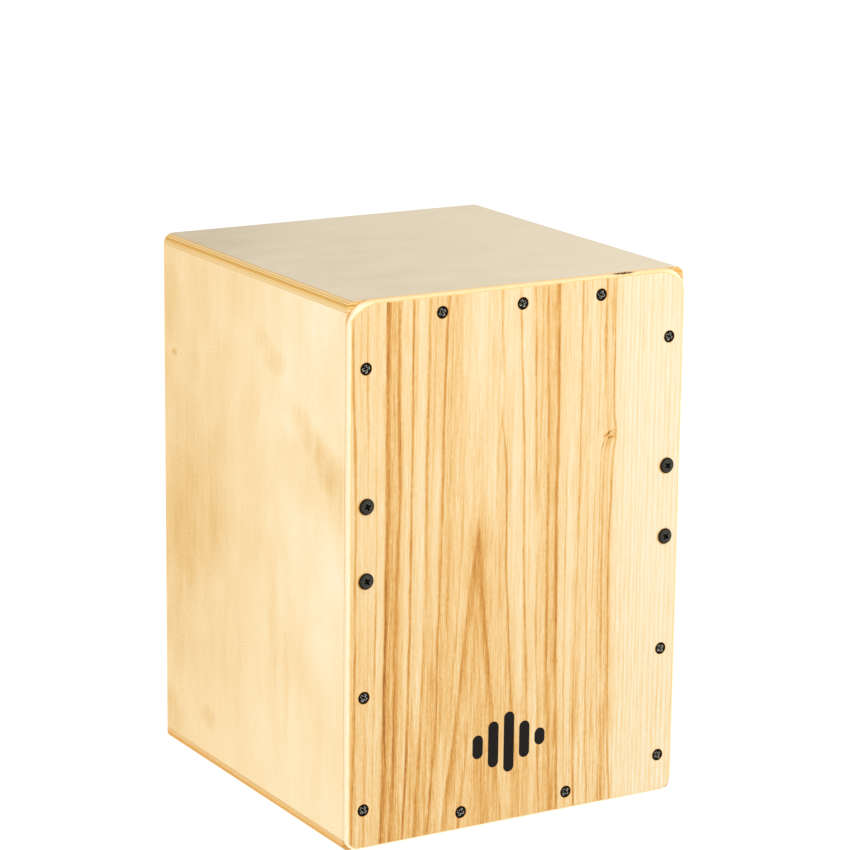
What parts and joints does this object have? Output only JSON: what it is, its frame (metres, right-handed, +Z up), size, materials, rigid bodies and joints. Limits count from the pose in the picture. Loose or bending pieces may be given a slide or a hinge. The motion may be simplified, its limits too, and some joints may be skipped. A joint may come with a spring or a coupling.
{
  "type": "cajon",
  "caption": "Wooden box drum to sit on and play by hand: plywood body, thin screwed-on front plate, snare wires behind it, round sound hole in the back, rubber feet.",
  "frame": {"origin": "on the floor, under the centre of the whole object's bounding box", "axes": "+Z up, -Y out of the playing face (front), +Y out of the back with the sound hole, +X to the right of someone facing the playing face"},
  "size_m": [0.28, 0.291, 0.408],
  "materials": {
    "birch_panel": "satin clear lacquer on birch plywood",
    "birch_back": "satin clear lacquer on thin birch plywood",
    "ash_front": "satin clear lacquer on heart ash veneer",
    "pine_batten": "sawn softwood, bare",
    "beech_carrier": "planed beech, bare",
    "black_screw": "glossy black",
    "charcoal_screw": "matte black oxide",
    "brass_insert": "turned",
    "snare_steel": "bright steel",
    "zinc_steel": "zinc plated",
    "black_rubber": "moulded, matte"
  },
  "bodies": {
    "root": {"back_panel": "birch_back", "bottom_panel": "birch_panel", "foot_front_left": "black_rubber", "foot_front_right": "black_rubber", "foot_rear_left": "black_rubber", "foot_rear_right": "black_rubber", "foot_screws": "zinc_steel", "foot_washers": "zinc_steel", "front_batten_bottom": "pine_batten", "front_batten_left_lower": "pine_batten", "front_batten_left_upper": "pine_batten", "front_batten_right_lower": "pine_batten", "front_batten_right_upper": "pine_batten", "front_batten_top": "pine_batten", "front_plate": "ash_front", "front_plate_screws": "black_screw", "left_side_panel": "birch_panel", "rear_batten_bottom": "pine_batten", "rear_batten_left": "pine_batten", "rear_batten_right": "pine_batten", "rear_batten_top": "pine_batten", "right_side_panel": "birch_panel", "snare_beam": "beech_carrier", "snare_block_left": "beech_carrier", "snare_block_right": "beech_carrier", "snare_block_screws": "charcoal_screw", "snare_plate_left": "zinc_steel", "snare_plate_right": "zinc_steel", "snare_plate_screws": "zinc_steel", "snare_wires_left": "snare_steel", "snare_wires_right": "snare_steel", "threaded_inserts": "brass_insert", "top_panel": "birch_panel"}
  },
  "joints": []
}
